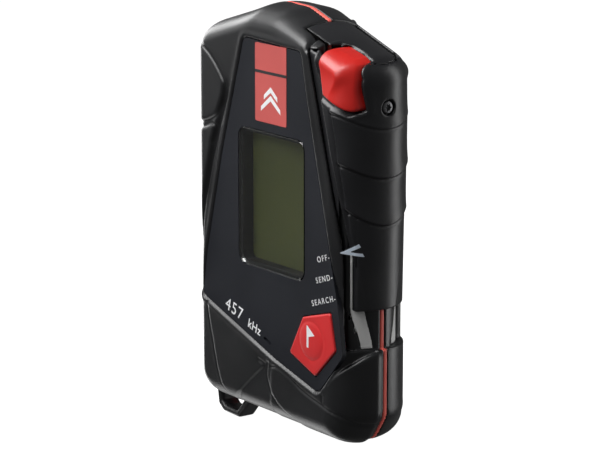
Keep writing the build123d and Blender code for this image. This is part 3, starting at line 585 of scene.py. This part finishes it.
def button_field(x, d, z):
    m = take(["qs", "asf", "asb", "Bt"], x, z)
    SB = slider_base(m, d)
    dish = 0.22 - 0.60 * np.exp(-((z - 41.0) / 4.6) ** 2) + 0.28 * smooth(37, 33, z)
    top = SB - dish
    S = smax(top, m["Bt"], 0.6)
    return np.maximum(S, -(SB + 1.45))


def track_field(x, d, z):
    k = core_field(x, d, z)
    S = smax(k - 0.02, flank(d, z) + 0.08, 0.2)
    S = np.maximum(S, -(k + 0.8))
    return np.maximum(S, np.maximum(STEP + 0.25 - z, z - 29.0))


def mark_field(x, d, z):
    m = take(["M"], x, z)
    M = m["M"]
    r = np.sqrt((x - 18.0) ** 2 + (z + 28.0) ** 2)
    top = -0.28 - 0.30 * np.exp(-(r / 4.6) ** 4) + 0.10 * np.exp(-((r - 5.1) / 0.5) ** 2)
    S = smax(top - d, M + 0.22, 0.55)
    S = np.maximum(S, d - 3.45)
    skirt = np.maximum(np.maximum(M - 0.7, x - 26.9), np.maximum(2.95 - d, d - 3.45))
    return np.minimum(S, skirt)


EYE_OUT = rounded([(-34.6, -49.0), (-33.2, -57.4), (-30.8, -59.1), (-23.6, -59.3), (-18.4, -53.6), (-20.0, -49.0)], [1.5, 1.5, 1.8, 1.0, 0.2, 0.2])
EYE_IN = rounded([(-32.2, -51.0), (-31.2, -56.2), (-29.8, -57.3), (-24.4, -57.4), (-21.2, -53.8), (-22.0, -51.0)], [0.5, 0.8, 0.8, 0.6, 0.5, 0.3])
F2["eo"], F2["ei"] = poly_map(EYE_OUT), poly_map(EYE_IN)


def eye_field(x, d, z):
    m = take(["q", "af", "ab", "eo", "ei"], x, z)
    S = smax(smax(m["eo"], -m["ei"], 0.3), np.abs(d - 8.5) - 2.9, 1.3)
    return np.maximum(S, -(body_base(m, d) + 1.2))


def screw_field(x, d, z):
    y, w = d - 11.8, z - 33.1
    r = np.sqrt(y * y + w * w)
    ang = np.arctan2(w, y)
    S = smax(r - 1.62, x - (33.86 - 0.10 * r * r), 0.35)
    S = np.maximum(S, 32.9 - x)
    lobe = r - (0.78 + 0.17 * np.cos(6 * ang))
    return smax(S, -np.maximum(lobe, 33.2 - x), 0.08)


# ---------------------------------------------------------------- materials
def value(nt, kind, **kw):
    n = nt.nodes.new(kind)
    for k, v in kw.items():
        setattr(n, k, v)
    return n


def material(name, base, rough, spec=0.5, coat=0.0, coat_rough=0.1, metallic=0.0, vary=0.25, grain=0.12, grain_scale=9000.0, speckle=0.06,
             rough_vary=0.05, mottling=60.0, transmission=0.0, ior=1.5, alpha=1.0, emission=None, emission_strength=0.0, sheen=0.0):
    """A finish with colour variation, a fine moulded grain and uneven gloss, all from positions on the object."""
    m = bpy.data.materials.new(name)
    m.use_nodes = True
    nt = m.node_tree
    nt.nodes.clear()
    out = value(nt, "ShaderNodeOutputMaterial")
    b = value(nt, "ShaderNodeBsdfPrincipled")
    nt.links.new(b.outputs[0], out.inputs[0])
    b.inputs["Specular IOR Level"].default_value = spec
    b.inputs["IOR"].default_value = ior
    b.inputs["Coat Weight"].default_value = coat
    b.inputs["Coat Roughness"].default_value = coat_rough
    b.inputs["Metallic"].default_value = metallic
    b.inputs["Transmission Weight"].default_value = transmission
    b.inputs["Sheen Weight"].default_value = sheen
    b.inputs["Alpha"].default_value = alpha
    if emission:
        b.inputs["Emission Color"].default_value = (*emission, 1)
        b.inputs["Emission Strength"].default_value = emission_strength
    tc = value(nt, "ShaderNodeTexCoord")
    big = value(nt, "ShaderNodeTexNoise")
    big.inputs["Scale"].default_value = mottling
    big.inputs["Detail"].default_value = 3.0
    fine = value(nt, "ShaderNodeTexNoise")
    fine.inputs["Scale"].default_value = grain_scale
    fine.inputs["Detail"].default_value = 2.0
    nt.links.new(tc.outputs["Object"], big.inputs["Vector"])
    nt.links.new(tc.outputs["Object"], fine.inputs["Vector"])
    ramp = value(nt, "ShaderNodeValToRGB")
    ramp.color_ramp.elements[0].position = 0.3
    ramp.color_ramp.elements[1].position = 0.7
    lo = tuple(c * (1 - vary) for c in base)
    hi = tuple(min(1.0, c * (1 + vary)) for c in base)
    ramp.color_ramp.elements[0].color = (*lo, 1)
    ramp.color_ramp.elements[1].color = (*hi, 1)
    nt.links.new(big.outputs["Fac"], ramp.inputs[0])
    mix = value(nt, "ShaderNodeMix", data_type="RGBA", blend_type="OVERLAY")
    mix.inputs[0].default_value = speckle
    nt.links.new(ramp.outputs[0], mix.inputs[6])
    nt.links.new(fine.outputs["Fac"], mix.inputs[7])
    nt.links.new(mix.outputs[2], b.inputs["Base Color"])
    mr = value(nt, "ShaderNodeMapRange")
    mr.inputs[1].default_value, mr.inputs[2].default_value = 0.3, 0.7
    mr.inputs[3].default_value, mr.inputs[4].default_value = max(0.02, rough - rough_vary), min(1, rough + rough_vary)
    nt.links.new(big.outputs["Fac"], mr.inputs[0])
    nt.links.new(mr.outputs[0], b.inputs["Roughness"])
    if grain > 0:
        bump = value(nt, "ShaderNodeBump")
        bump.inputs["Strength"].default_value = grain
        bump.inputs["Distance"].default_value = 0.00006
        nt.links.new(fine.outputs["Fac"], bump.inputs["Height"])
        nt.links.new(bump.outputs[0], b.inputs["Normal"])
    return m


MAT = {
    "shell": material("shell_charcoal", (0.0105, 0.0108, 0.0118), 0.33, vary=0.14, grain=0.30, speckle=0.10),
    "slider": material("slider_charcoal", (0.0110, 0.0112, 0.0128), 0.34, vary=0.14, grain=0.26, speckle=0.10),
    "panel": material("panel_graphite", (0.0150, 0.0162, 0.0205), 0.42, spec=0.22, vary=0.10, grain=0.30, speckle=0.12),
    "seal": material("seal_red", (0.88, 0.13, 0.10), 0.52, vary=0.10, grain=0.20),
    "red": material("button_red", (0.52, 0.014, 0.010), 0.34, vary=0.08, grain=0.18, coat=0.12, coat_rough=0.25),
    "flagred": material("mark_red", (0.60, 0.024, 0.026), 0.38, vary=0.06, grain=0.16, coat=0.10, coat_rough=0.3),
    "label": material("label_red", (0.52, 0.090, 0.082), 0.45, vary=0.06, grain=0.15),
    "divider": material("label_divider", (0.02, 0.02, 0.022), 0.5, grain=0.1),
    "white": material("printed_white", (0.78, 0.79, 0.80), 0.55, vary=0.05, grain=0.10),
    "arrow": material("printed_pale_blue", (0.62, 0.70, 0.80), 0.5, vary=0.05, grain=0.10),
    "track": material("runner_grey", (0.72, 0.72, 0.71), 0.45, vary=0.14, grain=0.22),
    "glass": material("window_clear", (0.96, 0.98, 0.96), 0.035, transmission=1.0, vary=0.01, grain=0.0, speckle=0.0, rough_vary=0.01, ior=1.49),
    "lcd": material("display_olive", (0.105, 0.112, 0.040), 0.30, vary=0.07, grain=0.0, mottling=25.0, speckle=0.0),
    "lcdframe": material("display_frame_black", (0.012, 0.012, 0.013), 0.5, vary=0.15),
    "diffuser": material("diffuser_white", (0.72, 0.72, 0.68), 0.6, vary=0.04),
    "rubber": material("rubber_black", (0.018, 0.018, 0.018), 0.75, vary=0.2, grain=0.4),
    "pcb": material("board_green", (0.010, 0.075, 0.028), 0.32, vary=0.3, mottling=900.0, grain=0.1),
    "chip": material("chip_black", (0.02, 0.02, 0.021), 0.55, vary=0.15),
    "steel": material("plated_steel", (0.55, 0.55, 0.56), 0.30, metallic=1.0, vary=0.1, grain=0.2, mottling=400.0),
    "darksteel": material("blackened_screw", (0.13, 0.13, 0.135), 0.36, metallic=0.9, vary=0.15, grain=0.25, mottling=700.0),
    "ferrite": material("ferrite_grey", (0.035, 0.035, 0.038), 0.7, vary=0.2, grain=0.5),
    "copper": material("winding_copper", (0.48, 0.16, 0.06), 0.32, metallic=0.8, vary=0.15, mottling=300.0),
    "sleeve": material("cell_sleeve_grey", (0.10, 0.11, 0.13), 0.3, vary=0.2, mottling=90.0, coat=0.4),
}


def paint(o, key):
    o.data.materials.clear()
    o.data.materials.append(MAT[key])


CAD_FINISH = {
    "slider_magnet": "steel", "slider_screw": "darksteel", "detent_ball": "steel", "detent_spring": "steel", "face_panel": "panel", "label_plate": "label",
    "display_window": "glass", "lcd_frame": "lcdframe", "lcd_module": "lcd", "lcd_backlight": "diffuser", "button_gasket": "rubber", "tact_switch": "chip",
    "main_pcb": "pcb", "pcb_components": "chip", "reed_switches": "chip", "speaker": "lcdframe", "speaker_mesh": "rubber", "antenna_long_core": "ferrite",
    "antenna_long_coil": "copper", "antenna_cross_core": "ferrite", "antenna_cross_coil": "copper", "antenna_depth_core": "ferrite",
    "antenna_depth_coil": "copper", "battery_tray": "chip", "aa_cell": "sleeve", "battery_spring": "steel", "battery_contact": "steel", "door_seal": "rubber",
    "battery_door": "shell", "hinge_pin": "steel", "door_screw": "darksteel", "case_screws": "darksteel",
}
for name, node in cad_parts.items():
    paint(node, CAD_FINISH.get(name, "shell"))


def place(o, key, body, slot, *nodes):
    paint(o, key)
    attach(o, body)
    if nodes:
        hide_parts(*nodes)
    return o


# ---------------------------------------------------------------- moulded pieces
H_SHELL, H_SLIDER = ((0.40, 0.26))
front = field_piece("front_shell_moulding", front_field, (-36.2, -1.6, -55.2), (34.2, 12.0, 56.0), H_SHELL)
place(front, "shell", "root", "shell_plastic", "front_shell")
back = field_piece("back_shell_moulding", back_field, (-36.2, 12.0, -55.2), (34.2, 25.3, 56.0), H_SHELL)
place(back, "shell", "root", "shell_plastic", "back_shell")
seal = field_piece("seam_seal", seal_field, (-36.2, 10.9, -55.2), (34.2, 13.2, 56.0), 0.36)
place(seal, "seal", "root", "red_seal", "parting_seal")
slider = field_piece("mode_slider_moulding", slider_field, (8.6, -1.8, -20.2), (36.2, 25.6, 54.4), H_SLIDER)
place(slider, "slider", "mode_slider", "slider_plastic", "mode_slider")
release = field_piece("release_button_cap", button_field, (19.2, -2.6, 30.6), (34.0, 9.0, 49.0), 0.16)
place(release, "red", "release_button", "red_plastic", "release_button")
track = field_piece("slider_runners", track_field, (26.0, 2.5, -29.6), (32.6, 22.2, 29.8), 0.28)
place(track, "track", "root", "grey_track", "slide_track")
mark = field_piece("mark_button_cap", mark_field, (6.0, -1.4, -39.2), (30.4, 4.1, -16.9), 0.2)
place(mark, "flagred", "mark_button", "red_plastic", "mark_button")
eye = field_piece("lanyard_eye_moulding", eye_field, (-36.0, 4.8, -60.4), (-17.0, 12.2, -47.6), 0.2)
place(eye, "shell", "root", "shell_plastic", "lanyard_eye")
torx = field_piece("slider_screw_head", screw_field, (32.3, 9.5, 30.8), (34.5, 14.1, 35.4), 0.07)
place(torx, "darksteel", "mode_slider", "steel_parts", "slider_screw")


# ---------------------------------------------------------------- printed marks
def plate(name, polys, d, thick, edge=0.0):
    """Flat printed shapes at a depth, as thin closed slabs."""
    bm = bmesh.new()
    for poly in polys:
        lo = [bm.verts.new(to_frame(np.array([[x, d, z]]))[0]) for x, z in poly]
        hi = [bm.verts.new(to_frame(np.array([[x, d - thick, z]]))[0]) for x, z in poly]
        n = len(poly)
        bm.faces.new(lo)
        bm.faces.new(hi[::-1])
        for i in range(n):
            bm.faces.new((lo[i], hi[i], hi[(i + 1) % n], lo[(i + 1) % n]))
    bmesh.ops.recalc_face_normals(bm, faces=bm.faces)
    me = bpy.data.meshes.new(name)
    bm.to_mesh(me)
    bm.free()
    o = bpy.data.objects.new(name, me)
    bpy.context.scene.collection.objects.link(o)
    return o


def words(name, text, x_end, z_mid, cap, d, turn=0.0, align="RIGHT", space=1.0, bold=0.0):
    cu = bpy.data.curves.new(name, "FONT")
    cu.body = text
    cu.size = cap / 0.72 / 1000
    cu.align_x = align
    cu.align_y = "CENTER"
    cu.space_character = space
    cu.extrude = 0.000015
    cu.offset = bold
    t = bpy.data.objects.new(name + "_text", cu)
    bpy.context.scene.collection.objects.link(t)
    t.rotation_euler = (math.pi / 2, 0, 0)
    bpy.context.view_layer.update()
    dg = bpy.context.evaluated_depsgraph_get()
    me = bpy.data.meshes.new_from_object(t.evaluated_get(dg))
    R = Matrix.Rotation(-turn, 4, "Y")
    me.transform(Matrix.Translation(Vector((x_end / 1000, (d - D0) / 1000, z_mid / 1000))) @ R @ Matrix.Rotation(math.pi / 2, 4, "X"))
    bpy.data.objects.remove(t)
    bm = bmesh.new()
    bm.from_mesh(me)
    bmesh.ops.remove_doubles(bm, verts=bm.verts, dist=1e-7)
    bm.to_mesh(me)
    bm.free()
    me.name = name
    o = bpy.data.objects.new(name, me)
    bpy.context.scene.collection.objects.link(o)
    return o


FACE = 0.135
for nm, tx, xe, zm in (("word_off", "OFF-", 25.2, -4.85), ("word_send", "SEND-", 26.5, -9.75), ("word_search", "SEARCH-", 27.8, -15.0)):
    place(words(nm, tx, xe, zm, 1.52, FACE, turn=math.radians(18.5), space=1.34), "white", "root", "panel_plastic")
place(words("word_band", "457", -20.9, -25.9, 3.5, FACE, turn=math.radians(-14.6), align="LEFT", space=1.16), "white", "root", "panel_plastic")
place(words("word_khz", "kHz", -10.6, -29.2, 2.5, FACE, turn=math.radians(-14.6), align="LEFT", space=1.08, bold=0.00004), "white", "root", "panel_plastic")

# label: two blocks with a dark line between them and a plain mark of two peaks
place(plate("label_line", [[(-6.85, 37.9), (6.85, 37.9), (6.85, 38.65), (-6.85, 38.65)]], 0.1, 0.03), "divider", "root", "red_label")


glyph = []
for z0, w in ((29.0, 4.3), (32.1, 3.0)):
    glyph.append([(-w, z0 - 0.9), (-w + 0.1, z0 + 0.35), (0, z0 + w * 0.72 + 0.45), (w - 0.1, z0 + 0.35), (w, z0 - 0.9), (0, z0 + w * 0.72 - 0.95)])
place(plate("label_mark", glyph, 0.1, 0.03), "white", "root", "red_label")

# pennant on the marking button, riding with it
place(plate("pennant", [[(16.55, -29.9), (17.35, -29.9), (17.35, -27.0), (19.9, -26.3), (16.75, -24.1), (16.55, -24.1)]], -0.56, 0.05), "white", "mark_button", "red_plastic")

# pointer on the slider, laid on its curved side
POINTER = [(17.47, -3.34), (22.23, -0.89), (22.78, -1.70), (19.9, -2.98), (23.17, -3.39), (23.72, -4.26)]


def laid_on(name, outline, field, thick, inside):
    """A flat outline (across, up) laid on a curved surface seen from the corner."""
    bm = bmesh.new()
    P2 = rounded(outline, 0.06)
    vs = [bm.verts.new((a, 0, b)) for a, b in P2]
    bm.faces.new(vs)
    bm.normal_update()
    bmesh.ops.triangulate(bm, faces=bm.faces)
    for _ in range(3):
        bmesh.ops.subdivide_edges(bm, edges=[e for e in bm.edges if e.calc_length() > 0.35], cuts=1)
        bmesh.ops.triangulate(bm, faces=bm.faces)
    A = np.array([v.co[:] for v in bm.verts])
    F = [[v.index for v in f.verts] for f in bm.faces]
    bm.verts.index_update()
    F = [[v.index for v in f.verts] for f in bm.faces]
    bm.free()
    e1, n = np.array([0.58779, 0.80902]), np.array([0.80902, -0.58779])
    lo = np.full(len(A), 0.0)
    hi = np.full(len(A), 40.0)
    at = lambda s: (A[:, 0] * e1[0] + s * n[0], A[:, 0] * e1[1] + s * n[1], A[:, 2])
    for _ in range(48):
        mid = (lo + hi) / 2
        f = np.asarray(field(*at(mid)), float)
        out = f > 0
        hi = np.where(out, mid, hi)
        lo = np.where(out, lo, mid)
    top = np.stack(at(hi + thick), 1)
    under = np.stack(at(hi - inside), 1)
    k = len(A)
    edges = {}
    for f in F:
        for i in range(3):
            a, b = f[i], f[(i + 1) % 3]
            edges[(a, b)] = edges.get((a, b), 0) + 1
    rim = [(a, b) for a, b in edges if (b, a) not in edges]
    tris = [tuple(f) for f in F] + [(f[0] + k, f[2] + k, f[1] + k) for f in F]
    for a, b in rim:
        tris += [(b, a, a + k), (b, a + k, b + k)]
    return mesh_piece(name, np.vstack([top, under]), np.array(tris), smooth=False)


def slider_skin(x, d, z):
    m = take(["qs", "asf", "asb", "F", "pad"], x, z)
    return slider_base(m, d) - slider_relief(m, x, d, z)


place(laid_on("pointer", POINTER, slider_skin, 0.06, 0.10), "arrow", "mode_slider", "slider_plastic")


# ---------------------------------------------------------------- floor, light, camera
def plain(name, colour, rough, glow=0.0):
    m = bpy.data.materials.new(name)
    m.use_nodes = True
    b = m.node_tree.nodes["Principled BSDF"]
    b.inputs["Base Color"].default_value = (*colour, 1)
    b.inputs["Roughness"].default_value = rough
    b.inputs["Specular IOR Level"].default_value = 0.3
    if glow:
        b.inputs["Emission Color"].default_value = (1, 1, 1, 1)
        b.inputs["Emission Strength"].default_value = glow
    return m


FLOOR_Z = CAD_BOX[0].z - 0.0004
bm = bmesh.new()
ring = [bm.verts.new((2.9 * math.cos(k * math.pi / 32), 2.9 * math.sin(k * math.pi / 32), FLOOR_Z)) for k in range(64)]
bm.faces.new(ring)
me = bpy.data.meshes.new("studio_floor")
bm.to_mesh(me)
bm.free()
floor = bpy.data.objects.new("studio_floor", me)
bpy.context.scene.collection.objects.link(floor)
floor.data.materials.append(plain("floor_white", (0.30, 0.30, 0.30), 0.25, 0.97))
bm = bmesh.new()
bmesh.ops.create_uvsphere(bm, u_segments=48, v_segments=24, radius=3.0)
bmesh.ops.reverse_faces(bm, faces=bm.faces)
me = bpy.data.meshes.new("studio_backdrop")
bm.to_mesh(me)
bm.free()
dome = bpy.data.objects.new("studio_backdrop", me)
bpy.context.scene.collection.objects.link(dome)
dome.data.materials.append(plain("backdrop_white", (0.0, 0.0, 0.0), 1.0, 1.0))
for o in (floor, dome):
    o.visible_diffuse = False
    o.visible_glossy = False
    o.visible_transmission = False
    o.visible_shadow = False

world = bpy.data.worlds.new("studio")
bpy.context.scene.world = world
world.use_nodes = True
world.node_tree.nodes["Background"].inputs[0].default_value = (1, 1, 1, 1)
world.node_tree.nodes["Background"].inputs[1].default_value = 0.10

CENTRE = Vector((0, -0.012, 0))


def softbox(name, direction, distance, size_x, size_y, power, up=(0, 0, 1), colour=(1, 1, 1)):
    L = bpy.data.lights.new(name, "AREA")
    L.shape = "RECTANGLE"
    L.size, L.size_y = size_x, size_y
    L.energy = power
    L.color = colour
    o = bpy.data.objects.new(name, L)
    bpy.context.scene.collection.objects.link(o)
    dirn = Vector(direction).normalized()
    o.location = CENTRE + dirn * distance
    z = dirn
    x = Vector(up).cross(z).normalized()
    y = z.cross(x)
    o.rotation_euler = Matrix((x, y, z)).transposed().to_euler()
    return o


softbox("top_box", (-0.25, -0.55, 1.0), 0.55, 0.5, 0.3, 4.0, up=(0, 1, 0))
softbox("front_box", (0.0, -1.0, 0.75), 0.7, 0.45, 0.4, 1.9)
softbox("hump_box", (-0.9, -0.30, 0.42), 0.6, 0.7, 0.6, 0.95)
softbox("right_strip", (0.55, 1.0, 0.12), 0.5, 0.18, 0.7, 1.3)
softbox("left_strip", (-1.0, 0.10, 0.0), 0.6, 0.25, 0.7, 2.2)
softbox("bounce", (-0.6, -0.1, -0.8), 0.6, 0.5, 0.3, 0.8)

cam_data = bpy.data.cameras.new("camera")
cam_data.sensor_width = 36.0
cam_data.lens = 159.05
cam_data.clip_start, cam_data.clip_end = 0.05, 20
cam = bpy.data.objects.new("camera", cam_data)
bpy.context.scene.collection.objects.link(cam)
cam.location = (0.5525, -0.4150, 0.1484)
fw = Vector((-0.78997, 0.57395, -0.21576)).normalized()
rt = fw.cross(Vector((0, 0, 1))).normalized()
up = rt.cross(fw)
cam.rotation_euler = Matrix((rt, up, -fw)).transposed().to_euler()
bpy.context.scene.camera = cam
bpy.context.scene.view_settings.view_transform = "Standard"
